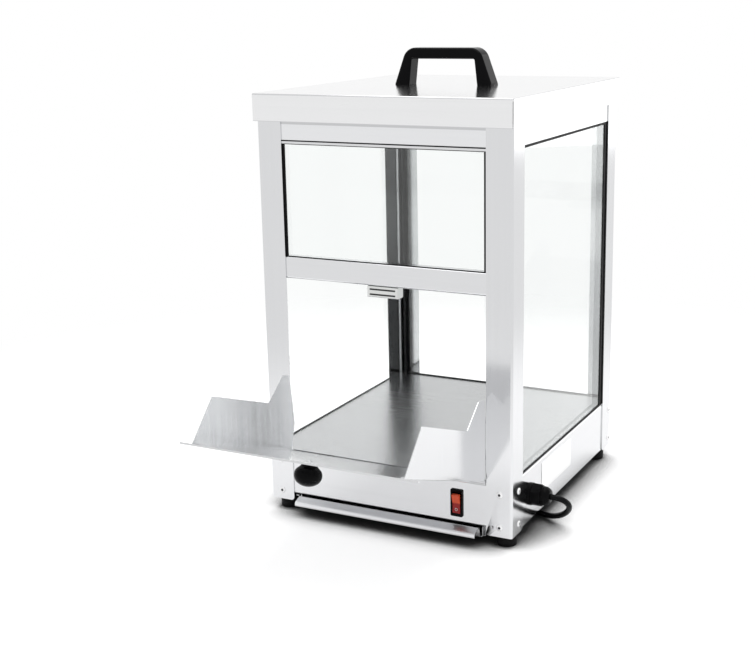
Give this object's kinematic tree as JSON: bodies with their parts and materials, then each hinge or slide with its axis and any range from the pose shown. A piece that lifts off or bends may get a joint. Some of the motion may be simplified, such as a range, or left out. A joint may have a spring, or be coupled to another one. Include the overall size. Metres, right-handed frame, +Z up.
{
  "type": "chip warmer",
  "caption": "Countertop chip warmer: stainless cabinet with glass walls, lift-off lid with bridge handle, tip-out chute door with knob, heated deck, rocker switch and pull-out crumb tray.",
  "frame": {"origin": "on the tabletop under the middle of the cabinet, level with the undersides of the feet", "axes": "+Z up, the chute door faces -Y, +X to the right of someone facing the door"},
  "size_m": [0.3709, 0.6673, 0.56],
  "materials": {
    "brushed_stainless": "brushed satin",
    "plain_steel": "dull",
    "zinc_steel": "bright zinc",
    "clear_glass": "clear",
    "black_rubber": "matt",
    "gloss_black": "gloss",
    "rocker_red": "gloss",
    "black_nylon": "satin",
    "cord_jacket": "satin",
    "pin_brass": "polished",
    "heater_silicone": "matt",
    "fibre_pad": "matt",
    "block_plastic": "matt"
  },
  "bodies": {
    "cabinet": {"base_panel_back": "brushed_stainless", "base_panel_front": "brushed_stainless", "base_panel_left": "brushed_stainless", "base_panel_right": "brushed_stainless", "base_wiring": "cord_jacket", "bottom_plate": "plain_steel", "catch_poles": "zinc_steel", "cord_coil": "cord_jacket", "cord_lead": "cord_jacket", "cord_tail": "cord_jacket", "cover_fixings": "plain_steel", "deck": "brushed_stainless", "feet": "black_rubber", "foot_fixings": "plain_steel", "gland_body": "black_nylon", "gland_cap": "black_nylon", "gland_locknut": "black_nylon", "glass_back": "clear_glass", "glass_front": "clear_glass", "glass_left": "clear_glass", "glass_right": "clear_glass", "glass_trim": "brushed_stainless", "heater_cover": "plain_steel", "heater_insulation": "fibre_pad", "heater_mat": "heater_silicone", "hinge_rod": "brushed_stainless", "hinge_straps": "brushed_stainless", "magnet_catch": "zinc_steel", "mains_tail": "cord_jacket", "mid_rail": "brushed_stainless", "plug_body": "cord_jacket", "plug_pins": "pin_brass", "post_back_left": "brushed_stainless", "post_back_right": "brushed_stainless", "post_front_left": "brushed_stainless", "post_front_right": "brushed_stainless", "rivets": "plain_steel", "seal_back": "black_rubber", "seal_front": "black_rubber", "seal_left": "black_rubber", "seal_right": "black_rubber", "switch_housing": "gloss_black", "switch_tabs": "zinc_steel", "terminal_block": "block_plastic", "thermostat": "plain_steel", "top_rail_back": "brushed_stainless", "top_rail_front": "brushed_stainless", "top_rail_left": "brushed_stainless", "top_rail_right": "brushed_stainless", "tray_runners": "plain_steel"},
    "lid": {"lid_cover": "brushed_stainless", "lid_handle": "gloss_black", "handle_screws": "plain_steel"},
    "chute_door": {"chute_plate": "brushed_stainless", "chute_cheek_left": "brushed_stainless", "chute_cheek_right": "brushed_stainless", "door_knob": "gloss_black", "knob_screw": "plain_steel"},
    "crumb_tray_body": {"crumb_tray": "brushed_stainless"},
    "rocker": {"switch_rocker": "rocker_red"}
  },
  "joints": [
    {"name": "lid_lift", "type": "slide", "parent": "cabinet", "child": "lid", "axis": [0, 0, 1], "range_m": [0, 0.12]},
    {"name": "chute_hinge", "type": "hinge", "parent": "cabinet", "child": "chute_door", "pos_m": [0, -0.1821, 0.08], "axis": [-1, 0, 0], "range_deg": [0, 70.2]},
    {"name": "tray_slide", "type": "slide", "parent": "cabinet", "child": "crumb_tray_body", "axis": [0, -1, 0], "range_m": [0, 0.25]},
    {"name": "rocker_tilt", "type": "hinge", "parent": "cabinet", "child": "rocker", "pos_m": [0.09185, -0.1764, 0.0483], "axis": [-1, 0, 0], "range_deg": [0, 16]}
  ]
}
